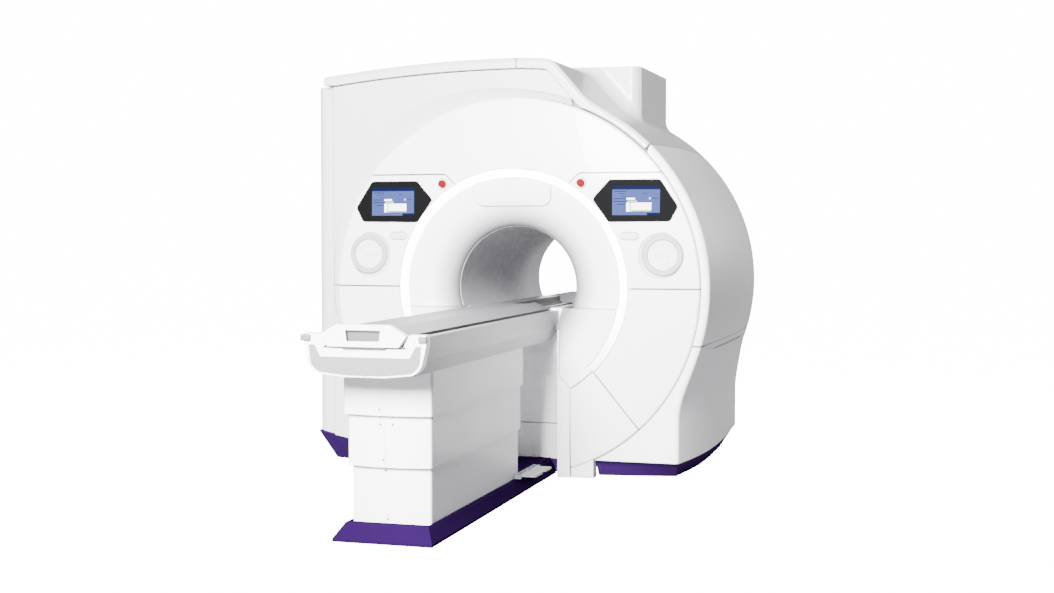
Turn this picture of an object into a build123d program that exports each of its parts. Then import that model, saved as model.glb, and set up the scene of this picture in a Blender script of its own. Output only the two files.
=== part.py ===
"""Wide bore MRI scanner with a fixed, telescoping patient table.

Millimetres. +X is to the right seen from the foot end, +Y runs into the bore,
+Z is up. The origin lies on the floor under the isocentre.
"""

import math
import os

from build123d import *

os.makedirs("parts", exist_ok=True)

# Fits
gap = 3.0
half = gap / 2
fit = 0.3
skin = 30.0
far = 4000.0

# Bore and mouth
iso_z = 1073.0
bore_r = 350.0
liner_wall = 6.0
bore_half = 826.0
mouth_y = -bore_half - 115.0
bell_wall = 12.0

# Dome: it reaches the floor, and sets the light ring, the mouth and the envelope
disc_r = iso_z + 6.0
disc_y = mouth_y + 5.0
dome_y = mouth_y - 22.0
dome_mid_y = dome_y + 10.0
dome_mid_r = disc_r - 199.0
dome_wall = 16.0
dome_edge = 14.0
ring_r = 0.6228 * disc_r
ring_wide = 45.0
ring_y = dome_y
ring_end = 44.1
dome_arc_r = ring_r - 32.0
mouth_r = ring_r - ring_wide
kick_seam_r = ring_r - 8.0
kick_seam_turn = -51.2

# Gantry envelope
band_r = disc_r + 51.0
band_y = disc_y + 6.0
band_edge = 24.0
rim_wall = 40.0
cover_back = bore_half - 29.0
shell_y = band_y + rim_wall
frame_y = band_y + 65.0
frame_wall = 12.0
rear_y = cover_back + gap
rear_centre_y = rear_y + 75.0
foot_z = 100.0
foot_in_x = 481.0
grip_z = iso_z - 0.316 * band_r
grip_high = 41.0
seam_angle = 45.5
slope_angle = 57.8
crown_z = iso_z + band_r + 175.0
crown_seam_x = 20.0
crown_left_x = -band_r - 35.0
crown_left_z = crown_z - 78.0
crown_band = 64.0
crown_edge = 28.0
slab_x = crown_left_x - 70.0
slab_in_x = crown_left_x + 45.0
slab_y = band_y + 60.0
slab_top = crown_left_z - 55.0
slab_edge = 60.0
panel_y = band_y + 25.0
cove_back = frame_y - 7.0
hood_x = 0.478 * band_r
hood_front = -30.0
hood_z = crown_z + 27.0
hood_edge = 60.0
hood_foot = 90.0

# Recess behind the table
recess_x = 283.0
strip_x = 343.0
recess_y = mouth_y - 9.0
recess_back = 61.0 - bore_half
recess_high_back = -bore_half - 9.0
recess_corner = 100.0
recess_wall = 13.0
kick_top = 285.0
plinth_top = 75.0

# Bridge and cradle, set low in the bore
channel_z = iso_z - 0.52286 * bore_r
deck_z = channel_z + 68.0
deck_x = 300.0
deck_y = -bore_half - 25.0
notch_z = deck_z - 120.0
notch_x = 262.0
channel_x = 205.0
bridge_z = channel_z + 55.0
cradle_bottom = channel_z + 10.0
cradle_low_x = 165.0
cradle_wide_x = 200.0
cradle_wide_z = cradle_bottom + 52.0
cradle_top_x = 112.0
cradle_top = cradle_bottom + 85.0
cradle_head = deck_y - 9.0
roller_r = 20.0
roller_half = 120.0
runner_x = 130.0
runner_half = 12.0

# Table
tray_x = 250.0
tray_low_x = 222.0
tray_top = deck_z - 18.0
tray_side_z = tray_top - 100.0
tray_bottom = tray_side_z - 65.0
tray_head = deck_y - 4.0
tray_foot = tray_head - 2215.0
cradle_foot = tray_foot - 20.0
cap_y = cradle_foot - 30.0
shroud_wall = 5.0
lower_x = 192.0
lower_front = tray_foot + 285.0
lower_back = tray_head - 595.0
shroud_step = 11.0
shroud_front_step = 27.0
shroud_bulge = 35.0
shroud_edge = 15.0
lower_top = 0.4387 * tray_bottom
middle_bottom = lower_top - 5.0
middle_top = 0.7484 * tray_bottom
upper_bottom = middle_top - 8.0
base_plate = 12.0
base_lip = 14.0
base_top = 80.0
base_in_x = 185.0

bore_axis = Axis((0, 0, iso_z), (0, 1, 0))


def front(y):
    """Plane across the bore axis at y, drawn as seen from the foot end."""
    return Plane.XZ.offset(-y)


def flip(points):
    """The outline followed by its mirror image across x = 0."""
    return list(points) + [(-x, z) for x, z in reversed(points)]


def swept(sketch, y0, y1, mode=Mode.ADD):
    """Carry a sketch drawn at y0 back to y1."""
    extrude(sketch, amount=y0 - y1, mode=mode)


def prism(points, y0, y1, mode=Mode.ADD):
    """Outline of x, z points carried from y0 to y1."""
    with BuildSketch(front(y0)) as outline:
        Polygon(*points, align=None)
    swept(outline.sketch, y0, y1, mode)


def keep(points):
    """Keep only what lies inside an outline of x, z points."""
    prism(points, -far, far, Mode.INTERSECT)


def disc(outer, inner, y0, y1, mode=Mode.ADD):
    """Ring about the bore axis, or a plain disc for an inner radius of 0."""
    with BuildSketch(front(y0)) as ring:
        with Locations((0, iso_z)):
            Circle(outer)
            if inner:
                Circle(inner, mode=Mode.SUBTRACT)
    swept(ring.sketch, y0, y1, mode)


def drill(radius):
    """Round opening about the bore axis, right through."""
    disc(radius, 0, -far, far, Mode.SUBTRACT)


def block(x0, x1, y0, y1, z0, z1, mode=Mode.ADD):
    """Box between two corners."""
    with Locations(((x0 + x1) / 2, (y0 + y1) / 2, (z0 + z1) / 2)):
        Box(abs(x1 - x0), abs(y1 - y0), abs(z1 - z0), mode=mode)


def cut(x0, x1, y0, y1, z0, z1):
    """Take away a box between two corners."""
    block(x0, x1, y0, y1, z0, z1, Mode.SUBTRACT)


def pin(x, y, z, radius, length, axis, mode=Mode.ADD):
    """Cylinder centred on a point, along X, Y or Z."""
    turn = {"X": (0, 90, 0), "Y": (90, 0, 0), "Z": (0, 0, 0)}[axis]
    with Locations((x, y, z)):
        Cylinder(radius, length, rotation=turn, mode=mode)


def rim_point(angle, radius=band_r):
    """Point at an angle above the horizontal, on a circle about the bore axis."""
    turn = math.radians(angle)
    return (radius * math.cos(turn), iso_z + radius * math.sin(turn))


def on_dome(x, z):
    """Point of the dome face, given in thousandths of its radius from the bore axis."""
    return (x * disc_r / 1000, iso_z + z * disc_r / 1000)


def save(name, part):
    """Label a finished piece and write it out."""
    part.label = name
    export_step(part, f"parts/{name}.step")


def dome_block(shift, back, mode=Mode.ADD, inner=dome_arc_r, outer=disc_r, edge=0.0):
    """Turned layer whose front follows the dome face, shift mm behind it."""
    with BuildSketch(Plane.YZ) as layer:
        with BuildLine():
            face = ThreePointArc(
                (dome_y + shift, iso_z + dome_arc_r),
                (dome_mid_y + shift, iso_z + dome_mid_r),
                (disc_y + shift, iso_z + disc_r),
            )
            Polyline(face @ 1, (back, iso_z + disc_r), (back, iso_z + dome_arc_r), face @ 0)
        make_face()
        with Locations((dome_y, iso_z + (inner + outer) / 2)):
            Rectangle(far, outer - inner, mode=Mode.INTERSECT)
        if edge:
            corner = layer.vertices().group_by(Axis.Y)[-1].sort_by(Axis.X)[0]
            fillet(corner, edge)
    revolve(layer.sketch, axis=bore_axis, mode=mode)


def dome_layer(thick_front, thick_back, outline):
    """Layer of the dome between two depths, inside an outline."""
    dome_block(thick_front, frame_y)
    dome_block(thick_back, frame_y, Mode.SUBTRACT)
    swept(outline, -far, far, Mode.INTERSECT)


def dome_shell(inner=ring_r + gap):
    """Dome cover with a flange at its inner and outer edges."""
    dome_block(0, frame_y, inner=inner, edge=dome_edge)
    dome_block(dome_wall, frame_y, Mode.SUBTRACT, inner + dome_wall, disc_r - dome_wall)


def bell_block(lift, back):
    """Turned flare of the mouth, from lift mm before its face to back mm behind it."""
    depth = -mouth_y - bore_half
    width = mouth_r - bore_r
    with BuildSketch(Plane.YZ) as flare:
        with BuildLine():
            centre = (-bore_half, iso_z + mouth_r)
            face = EllipticalCenterArc(centre, depth + lift, width, 180, arc_size=90)
            rear = EllipticalCenterArc(centre, depth - back, width - back, 180, arc_size=90)
            Line(face @ 0, rear @ 0)
            Line(face @ 1, rear @ 1)
        make_face()
    revolve(flare.sketch, axis=bore_axis)


def ring_sector(mode):
    """Sector below the two lower ends of the light ring."""
    Polygon((0, iso_z), rim_point(-ring_end, far), rim_point(ring_end - 180, far), align=None, mode=mode)


# Dome covers: upper cover, two control panels, two lower covers, two kick covers
panel_z = on_dome(0, 598.7)[1]
panel_edge = [on_dome(278, 507), on_dome(312.3, 544), on_dome(368, 598.7)]
panel_edge_r = 40.0
display = [
    on_dome(440.2, 462.5), on_dome(530.1, 562.6), on_dome(793.3, 562.6),
    on_dome(885.1, 423.5), on_dome(845.2, 347.5), on_dome(525.5, 344.8),
]
display_corner = 22.0
display_depth = 8.0
display_rise = 2.0
screen_at = on_dome(669.1, 456.0)
screen_size = (268.0, 166.0)
screen_depth = 2.0
keypad_at = on_dome(809.1, 173.3)
keypad_r = 115.0
keypad_in_r = 83.0
keypad_high = 13.0
keypad_floor = dome_y + 17.0
key_r = 13.0
keys = [(-50, 48), (-2, 65), (31, 58), (56, 33), (-34, 1), (-2, 1), (23, 1), (31, -58)]
strip_at = on_dome(635.8, 271.6)
strip_size = (102.0, 42.0)
strip_y = dome_y - 2.0
stop_at = on_dome(380.0, 547.7)
stop_seat = dome_y + 6.0
stop_r = 22.0
stop_stem_r = 10.0

with BuildPart() as upper_cover:
    dome_shell()
    with BuildSketch(front(-far)) as area:
        with BuildLine():
            low, inner, corner = panel_edge
            right = FilletPolyline(
                (0, low[1] - 100), (inner[0] - half, inner[1]), (corner[0], corner[1] + half),
                (far, panel_z + half), (far, far), (0, far), radius=(1, panel_edge_r, 1, 1),
            )
            Line(right @ 1, right @ 0)
        make_face()
        mirror(area.sketch, about=Plane.YZ)
    swept(area.sketch, -far, far, Mode.INTERSECT)
save("front_upper_cover", upper_cover.part)


def display_area(inset):
    """Six sided display outline with rounded corners."""
    with BuildSketch(front(-far)) as area:
        Polygon(*display, align=None)
        fillet(area.vertices(), display_corner)
        if inset:
            offset(amount=-inset, mode=Mode.REPLACE)
    return area.sketch


def screen_area(inset):
    """Outline of the lit screen."""
    with BuildSketch(front(-far)) as area:
        with Locations(screen_at):
            Rectangle(screen_size[0] - 2 * inset, screen_size[1] - 2 * inset)
    return area.sketch


with BuildPart() as display_seat:
    dome_layer(-2 * display_depth, display_depth, display_area(0))

with BuildPart() as screen_seat:
    dome_layer(-2 * display_depth, screen_depth, screen_area(0))


def right_panel():
    """Control panel of the right side with its seats, key strip and stop collar."""
    dome_shell()
    with BuildSketch(front(-far)) as area:
        with BuildLine():
            low, inner, corner = panel_edge
            edge = FilletPolyline(
                (low[0], iso_z + half), low, (inner[0] + half, inner[1]), (corner[0], corner[1] - half),
                (far, panel_z - half), (far, iso_z + half), radius=(1, 1, panel_edge_r, 1),
            )
            Line(edge @ 1, edge @ 0)
        make_face()
    swept(area.sketch, -far, far, Mode.INTERSECT)
    add(display_seat.part, mode=Mode.SUBTRACT)
    with BuildSketch(front(keypad_floor)) as dish:
        with Locations(keypad_at):
            Circle(keypad_r + 4)
    extrude(dish.sketch, amount=60, taper=-50, mode=Mode.SUBTRACT)
    with BuildSketch(front(strip_y)) as pill:
        with Locations(strip_at):
            SlotOverall(*strip_size)
    swept(pill.sketch, strip_y, strip_y + 12)
    with BuildSketch(front(strip_y)) as caps:
        with Locations(strip_at):
            with GridLocations(20, 1, 4, 1):
                SlotOverall(2 * key_r, key_r, rotation=90)
    swept(caps.sketch, strip_y, strip_y - 1.5)
    pin(stop_at[0], stop_seat, stop_at[1], stop_r + 8, 12, "Y")
    pin(stop_at[0], stop_seat, stop_at[1], stop_stem_r + fit, 120, "Y", Mode.SUBTRACT)


def seam_line(side):
    """Ends of the slanting seam below the light ring, moved half a gap to one side."""
    turn = math.radians(kick_seam_turn)
    x, z = rim_point(-ring_end, kick_seam_r)
    x, z = x - side * half * math.sin(turn), z + side * half * math.cos(turn)
    return [(x, z), (x + disc_r / 2 * math.cos(turn), z + disc_r / 2 * math.sin(turn))]


def right_lower():
    """Lower dome cover of the right side."""
    dome_shell()
    seam = seam_line(1)
    keep([(0, iso_z - half), *seam, (far, seam[1][1]), (far, iso_z - half)])


def right_kick():
    """Kick cover of the right side, down to the floor."""
    dome_shell(kick_seam_r + half)
    side = foot_in_x - gap
    block(strip_x + half, side, recess_y + 18, frame_y, 0, iso_z - math.sqrt(disc_r**2 - side**2) + dome_edge)
    seam = seam_line(-1)
    keep([(strip_x + half, 0), (strip_x + half, iso_z), *seam, (seam[1][0], 0)])


for builder, piece in ((right_panel, "control_panel"), (right_lower, "front_lower_cover"),
                       (right_kick, "front_kick_cover")):
    with BuildPart() as right_piece:
        builder()
    save(f"{piece}_right", right_piece.part)
    save(f"{piece}_left", mirror(right_piece.part, about=Plane.YZ, mode=Mode.PRIVATE))

# Displays, keypads and emergency stops
with BuildPart() as bezel:
    dome_layer(-display_rise, display_depth, display_area(1))
    add(screen_seat.part, mode=Mode.SUBTRACT)

with BuildPart() as screen:
    dome_layer(-1, screen_depth, screen_area(0.5))

with BuildPart() as keypad:
    with BuildSketch(front(keypad_floor)) as ring:
        with Locations(keypad_at):
            Circle(keypad_r)
            Circle(keypad_in_r, mode=Mode.SUBTRACT)
    swept(ring.sketch, keypad_floor, keypad_floor - keypad_high)
    chamfer(keypad.faces().sort_by(Axis.Y)[0].edges(), 5)
    plate_y = keypad_floor - 8
    pin(keypad_at[0], keypad_floor - 4, keypad_at[1], keypad_in_r + 1, 8, "Y")
    with BuildSketch(front(plate_y)) as caps:
        with Locations(*[(keypad_at[0] + x, keypad_at[1] + z) for x, z in keys]):
            Circle(key_r)
    swept(caps.sketch, plate_y, plate_y - 2)

with BuildPart() as stop_button:
    pin(stop_at[0], stop_seat - 10, stop_at[1], stop_stem_r, 36, "Y")
    pin(stop_at[0], stop_seat - 21, stop_at[1], stop_r, 14, "Y")
    fillet(stop_button.faces().sort_by(Axis.Y)[0].edges(), 5)

for part, piece in ((bezel, "display_bezel"), (screen, "display_screen"),
                    (keypad, "keypad"), (stop_button, "stop_button")):
    save(f"{piece}_right", part.part)
    save(f"{piece}_left", mirror(part.part, about=Plane.YZ, mode=Mode.PRIVATE))

# Mouth: light ring, flared cover with its lower front and visor, deck
with BuildPart() as light_ring:
    ring_in = ring_r - 20
    with BuildSketch(Plane.YZ) as strip:
        with BuildLine():
            face = ThreePointArc(
                (mouth_y, iso_z + mouth_r + 1), ((mouth_y + 2 * ring_y) / 3, iso_z + (mouth_r + ring_r) / 2),
                (ring_y, iso_z + ring_r),
            )
            Polyline(
                face @ 1, (frame_y, iso_z + ring_r), (frame_y, iso_z + ring_in),
                (mouth_y + 6, iso_z + ring_in), (mouth_y + 16, iso_z + mouth_r + 1), face @ 0,
            )
        make_face()
    revolve(strip.sketch, axis=bore_axis)
    with BuildSketch(front(-far)) as below:
        ring_sector(Mode.ADD)
    swept(below.sketch, -far, far, Mode.SUBTRACT)
save("light_ring", light_ring.part)

strip_z = iso_z - math.sqrt(kick_seam_r**2 - strip_x**2) + 8
recess_edge = [
    (deck_x, deck_z + 1), (notch_x, notch_z), (recess_x, notch_z), (recess_x, strip_z + 63),
    (strip_x, strip_z), (strip_x, 0),
]
visor_wide = 0.426 * disc_r
with BuildPart() as visor:
    bell_block(14, 2)
    with BuildSketch(front(-far)) as lip:
        with Locations((0, iso_z + mouth_r - 64)):
            RectangleRounded(visor_wide, 200, 55)
    swept(lip.sketch, -far, far, Mode.INTERSECT)

apron_y = mouth_y - 14
apron_wall = 14.0
with BuildPart() as flare_cover:
    bell_block(0, bell_wall)
    cut(-mouth_r - 50, mouth_r + 50, -far, 0, 0, deck_z)
    for y0, inset in ((apron_y, 0), (apron_y + 2 * apron_wall, apron_wall)):
        with BuildSketch(front(y0)) as lower:
            with Locations((0, iso_z)):
                Circle(kick_seam_r - half - inset)
            ring_sector(Mode.INTERSECT)
            with Locations((0, iso_z)):
                Circle(mouth_r - inset)
            with Locations((0, deck_z - inset - far / 2)):
                Rectangle(far, far, mode=Mode.INTERSECT)
            Polygon(*flip(recess_edge), align=None, mode=Mode.SUBTRACT)
        swept(lower.sketch, y0, -bore_half, Mode.SUBTRACT if inset else Mode.ADD)
    disc(mouth_r + 73, mouth_r + 9, frame_y - 1, 0, Mode.SUBTRACT)
    add(visor.part)
save("flare_cover", flare_cover.part)

with BuildPart() as deck_cover:
    prism(flip([(deck_x - gap, deck_z), (notch_x - gap, notch_z)]), deck_y, -bore_half - fit)
    prism(flip([(channel_x, deck_z + 10), (channel_x - 12, channel_z)]), -far, 0, Mode.SUBTRACT)
save("deck_cover", deck_cover.part)

# Recess behind the table
kick_wall = 10.0
kick_y = recess_y + 30
recess_liner_back = recess_back + kick_wall + recess_wall
recess_bend_z = notch_z - 148
recess_slope_z = recess_bend_z - 130


def recess_plan(grow, y_front):
    """Plan of the recess pocket, grown outwards."""
    side = recess_x - recess_wall + grow
    deep = recess_back + grow
    with BuildSketch() as plan:
        with BuildLine():
            corners = ((side, y_front), (side, deep), (-side, deep), (-side, y_front))
            wall = FilletPolyline(*corners, radius=recess_corner + grow)
            Line(wall @ 1, wall @ 0)
        make_face()
    return plan.sketch


with BuildPart() as recess_liner:
    inner_x = recess_x - gap
    inner_z = notch_z - gap
    prism(flip([
        (inner_x, inner_z), (inner_x, strip_z + 61), (strip_x - half, strip_z - 2.5), (strip_x - half, 0),
    ]), recess_y, recess_liner_back)
    extrude(recess_plan(0, -far), amount=inner_z, mode=Mode.SUBTRACT)
    with BuildSketch(Plane.YZ.offset(-inner_x)) as slope:
        Polygon(
            (recess_back - 5, recess_slope_z), (recess_high_back, recess_bend_z), (recess_high_back, inner_z),
            (recess_liner_back, inner_z), (recess_liner_back, recess_slope_z), align=None,
        )
    extrude(slope.sketch, amount=2 * inner_x)
    disc(bore_r + liner_wall + gap, 0, -bore_half, 0, Mode.SUBTRACT)
    extrude(recess_plan(kick_wall + fit, kick_y), amount=kick_top, mode=Mode.SUBTRACT)
save("recess_liner", recess_liner.part)

for name, z0, z1 in (("recess_kick_panel", plinth_top, kick_top - gap), ("plinth_recess", 0, plinth_top)):
    with BuildPart() as strip:
        extrude(recess_plan(kick_wall, kick_y + fit), amount=z1)
        extrude(recess_plan(0, -far), amount=z1, mode=Mode.SUBTRACT)
        if z0:
            cut(-far, far, -far, 0, -1, z0)
    save(name, strip.part)

# Bore: liner, body coil, gradient coil, bridge with its end stop, rollers
coil_r = bore_r + liner_wall
body_coil_r = coil_r + 24
band_step = 8.0
magnet_in_r = bore_r + 100
magnet_half = bore_half - 126
gradient_half = magnet_half - 60
body_coil_half = 320.0

with BuildPart() as bore_liner:
    disc(coil_r, bore_r, -bore_half, bore_half)
save("bore_liner", bore_liner.part)

with BuildPart() as body_coil:
    disc(body_coil_r, coil_r + fit, -body_coil_half, body_coil_half)
    for y in (-body_coil_half, body_coil_half - 40):
        disc(body_coil_r + band_step, coil_r + fit, y, y + 40)
save("body_coil", body_coil.part)

with BuildPart() as gradient_coil:
    disc(magnet_in_r - fit, body_coil_r + band_step + fit, -gradient_half, gradient_half)
    for y in (-gradient_half, gradient_half - 30):
        disc(magnet_in_r - fit, coil_r + fit, y, y + 30)
save("gradient_coil", gradient_coil.part)


def runner(y0, y1):
    """Pair of low runners the cradle slides over."""
    for x in (-runner_x, runner_x):
        block(x - runner_half, x + runner_half, y0, y1, channel_z, cradle_bottom - fit)


def roller_pocket(y):
    """Pocket a guide roller turns in."""
    wide = roller_half + 4
    deep = roller_r + 4
    cut(-wide, wide, y - deep, y + deep, cradle_bottom - 2 * roller_r - 6, channel_z + 20)


roller_at = {"tray_drive_roller": tray_head - 245, "bridge_roller": 276 - bore_half}
bridge_back = bore_half + 4
with BuildPart() as bridge:
    disc(bore_r - fit, 0, -bore_half, bridge_back)
    cut(-far, far, -far, far, bridge_z, far)
    prism(flip([(channel_x, bridge_z + 10), (channel_x, channel_z + 25), (channel_x - 25, channel_z)]),
          -far, far, Mode.SUBTRACT)
    runner(-bore_half, bridge_back)
    roller_pocket(roller_at["bridge_roller"])
    prism(flip([
        (cradle_top_x + 13, bridge_z + 30), (channel_x + 95, bridge_z), (channel_x + 75, channel_z - 20),
    ]), bridge_back, bridge_back + skin)
    disc(bore_r - fit, 0, -far, far, Mode.INTERSECT)
save("bore_bridge", bridge.part)

for name, y in roller_at.items():
    with BuildPart() as roller:
        z = cradle_bottom - fit - roller_r
        pin(0, y, z, roller_r, 2 * roller_half, "X")
        pin(0, y, z, 8, 2 * (roller_half + 4 - fit), "X")
    save(name, roller.part)

# Gantry envelope: everything below is drawn from the foot end
hip_angle = -19.4
hip_z = rim_point(hip_angle)[1]
bend_z = iso_z - 0.65 * band_r
slope_run = 0.184 * band_r


def crown_area(clear, y, left=crown_left_x):
    """Area under the crown skin between the left end and the right rim seam."""
    turn = math.radians(slope_angle)
    x, z = rim_point(slope_angle)
    slope_top = (x - slope_run * math.sin(turn), z + slope_run * math.cos(turn))
    outer_x = crown_left_x - 200
    with BuildSketch(front(y)) as area:
        with BuildLine():
            crown = ThreePointArc(
                (crown_left_x, crown_left_z), (crown_left_x / 2, crown_z - 19), (50, crown_z),
            )
            arc = CenterArc((0, iso_z), band_r, seam_angle, slope_angle - seam_angle)
            FilletPolyline(crown @ 1, (0.2 * band_r, crown_z - 10), slope_top, arc @ 1, radius=(120, 250))
            Polyline(arc @ 0, (0, iso_z), (0, iso_z - 200), (outer_x, iso_z - 200),
                     (outer_x, crown_left_z - 28), crown @ 0)
        make_face()
        if clear:
            offset(amount=-clear, kind=Kind.INTERSECTION, mode=Mode.REPLACE)
        with Locations((left + clear + far / 2, iso_z)):
            Rectangle(far, far, mode=Mode.INTERSECT)
    return area.sketch


def foot_area(clear, y):
    """Hollow of the right foot inside its skin."""
    shin_x = band_r - 225 - clear
    with BuildSketch(front(y)) as area:
        Polygon(
            (foot_in_x + 19, foot_z + skin + clear), (shin_x, foot_z + skin + clear), (shin_x, bend_z + 6),
            (band_r - 145 - clear, hip_z - 98), (band_r - 100 - clear, hip_z + 2),
            (band_r - 530, hip_z + 202), align=None,
        )
    return area.sketch


def panel_area(grow, y):
    """Front panel beside the dome, inside the band of the top covers."""
    clear = crown_band - grow
    return crown_area(clear, y, slab_in_x + gap - grow - clear)


def hollow():
    """Take out the dome opening and the space inside the skins."""
    disc(disc_r + gap, 0, -far, 0, Mode.SUBTRACT)
    disc(band_r - rim_wall, 0, shell_y, far, Mode.SUBTRACT)
    swept(crown_area(skin, shell_y), shell_y, far, Mode.SUBTRACT)
    swept(foot_area(0, shell_y), shell_y, far, Mode.SUBTRACT)


def between(x0, x1, z0=-far, z1=far):
    """Keep what lies between two x values and two heights."""
    block(x0, x1, -far, far, z0, z1, Mode.INTERSECT)


def crown_rim(edge):
    """True for the front edges of the crown that are rounded."""
    return (edge @ 0.5).Z > iso_z + 0.38 * band_r and (edge @ 0.5).X > crown_left_x + 5


def hood_root(edge):
    """True for the edges where the hood stands on the crown."""
    x, y, z = edge @ 0.5
    upright = abs((edge % 0.5).Z) > 0.99
    beside = abs(x - hood_x) < hood_edge / 2 and hood_front < y < cover_back
    return z < hood_z and not upright and (abs(y - hood_front) < 1 or beside)


knee_x = -0.637 * band_r
left_foot = [
    (slab_x - 65, 215.6), (slab_x + 15, 200), (slab_x + 195, 165), (knee_x, foot_z), (-foot_in_x, foot_z),
]


def clear_left_foot():
    """Cut along the rising lower edge of the left side."""
    outer_x = left_foot[0][0]
    prism([(outer_x, -far), *left_foot, (-foot_in_x, -far)], -far, far, Mode.SUBTRACT)


hood_low = iso_z + 0.73 * band_r
for name, x0, x1 in (("top_left_cover", -far, crown_seam_x - half),
                     ("top_right_cover", crown_seam_x + half, far)):
    with BuildPart() as crown_cover:
        swept(crown_area(0, band_y), band_y, far / 3)
        fillet(crown_cover.faces().sort_by(Axis.Y)[0].edges().filter_by(crown_rim), crown_edge)
        between(x0, x1)
        if x0 > 0:
            hood_deep = far / 3 - hood_front
            with BuildSketch(Plane.XY.offset(hood_low)) as hood_plan:
                with Locations(((x0 + hood_x) / 2, hood_front + hood_deep / 2)):
                    Rectangle(hood_x - x0, hood_deep)
                fillet(hood_plan.vertices().group_by(Axis.X)[-1].sort_by(Axis.Y)[0], hood_edge)
            extrude(hood_plan.sketch, amount=hood_z - hood_low + 300)
            fillet(crown_cover.edges().filter_by(hood_root), hood_foot)
        cut(-far, far, -far, far, hood_z, far)
        cut(-far, far, cover_back, far, 0, far)
        hollow()
        if x0 > 0:
            cut(x0 - 5, hood_x - skin, hood_front + skin, cover_back - skin, hood_low, hood_z - skin)
            disc(band_r - rim_wall, 0, -far, far, Mode.SUBTRACT)
        swept(panel_area(gap, -far), -far, shell_y, Mode.SUBTRACT)
        cut(-far, 0, -far, far, 0, slab_top + gap)
    save(name, crown_cover.part)


def side_section(y, radius, foot):
    """Outline of the right side at one depth: rim, hollow sweep and foot."""
    with BuildSketch(front(y)) as section:
        with BuildLine():
            top = rim_point(seam_angle - 0.15, radius)
            low = rim_point(hip_angle, radius)
            ThreePointArc(top, rim_point(13, radius), low)
            Spline(low, ((low[0] + foot) / 2 - 4, (low[1] + bend_z) / 2 + 27), (foot, bend_z),
                   tangents=[(-0.332, -0.943), (0, -1)])
            Polyline((foot, bend_z), (foot, foot_z), (foot_in_x, foot_z), (foot_in_x, hip_z + 202), top)
        make_face()
    return section.sketch


sections = (
    (band_y, band_r, band_r - 172), (-0.678 * bore_half, band_r + 12, band_r - 112),
    (0.109 * bore_half, band_r + 22, band_r - 90), (cover_back, band_r, band_r - 122),
)
side_seam_z = grip_z + grip_high
for name, z0, z1 in (("right_lower_side_cover", 0, side_seam_z - half),
                     ("right_upper_side_cover", side_seam_z + half, far)):
    with BuildPart() as side_cover:
        loft([side_section(*section) for section in sections])
        rim = side_cover.faces().sort_by(Axis.Y)[0].edges()
        fillet(rim.filter_by(lambda edge: (edge @ 0.5).X > band_r - 180), band_edge)
        hollow()
        between(0, far, z0, z1)
        if z0 == 0:
            cut(band_r - 45, far, 26 - bore_half, bore_half - 76, grip_z, side_seam_z)
            cut(foot_in_x - 11, band_r - 250, 136 - bore_half, far, 0, foot_z + skin)
    save(name, side_cover.part)

with BuildPart() as left_side:
    block(slab_x, slab_in_x, slab_y, cover_back, 0, slab_top)
    corner = left_side.edges().filter_by(Axis.Z).sort_by(Axis.X)[:2].sort_by(Axis.Y)[0]
    fillet(corner, slab_edge)
    cut(slab_x + skin, 0, slab_y + skin, far, -1, slab_top - skin)
    clear_left_foot()
save("left_side_cover", left_side.part)

cove_widths = (
    (45, 30), (70, 32), (90, 48), (110, 92), (130, 128), (150, 92), (170, 44), (190, 32), (240, 30),
)


def cove_outline(y, share):
    """Sector of the dome opening at y, widened by a share of the cove's width."""
    points = [rim_point(angle, disc_r + share * (gap + width)) for angle, width in cove_widths]
    with BuildSketch(front(y)) as outline:
        with BuildLine():
            rim = Spline(*points)
            Polyline(rim @ 1, (0, iso_z), rim @ 0)
        make_face()
    return outline.sketch


def cove():
    """Cut the slope that runs from a front panel down to the dome."""
    loft([cove_outline(panel_y, 1), cove_outline(cove_back, 0)], ruled=True, mode=Mode.SUBTRACT)


with BuildPart() as front_panel:
    swept(panel_area(0, panel_y), panel_y, frame_y)
    disc(disc_r + gap, 0, -far, 0, Mode.SUBTRACT)
    cove()
    between(-far, 0.3 * band_r, iso_z + half)
save("left_upper_panel", front_panel.part)

with BuildPart() as lower_panel:
    block(slab_in_x + gap, -foot_in_x, panel_y, frame_y, 0, iso_z - half)
    disc(disc_r + gap, 0, -far, 0, Mode.SUBTRACT)
    cove()
    clear_left_foot()
save("left_lower_panel", lower_panel.part)

# Plinths, each drawn at the floor and at its top edge
back = cover_back - 7
front_y = 8 - bore_half
right_floor = [
    (foot_in_x, front_y), (band_r - 418, front_y + 38), (band_r - 220, front_y + 79),
    (band_r - 184, -0.593 * bore_half), (band_r - 163, -0.333 * bore_half), (band_r - 158, 50),
    (band_r - 167, 0.587 * bore_half), (band_r - 190, back), (foot_in_x, back),
]
right_top = [
    (foot_in_x, panel_y), (band_r - 418, panel_y), (band_r - 175, panel_y + 2),
    (band_r - 122, -0.726 * bore_half), (band_r - 103, -0.363 * bore_half), (band_r - 94, 50),
    (band_r - 99, 0.508 * bore_half), (band_r - 125, back), (foot_in_x, back),
]
left_floor = [
    (-foot_in_x, front_y), (knee_x, front_y + 38), (slab_in_x + 2, front_y + 158),
    (slab_x + 11, front_y + 191), (slab_x + 11, back), (-foot_in_x, back),
]
left_top = [
    (-foot_in_x, panel_y - 87), (knee_x, panel_y - 125), (slab_in_x + 2, panel_y - 27),
    (slab_x, slab_y), (slab_x, back), (-foot_in_x, back),
]
plinth_z = left_foot[1][1]
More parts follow.
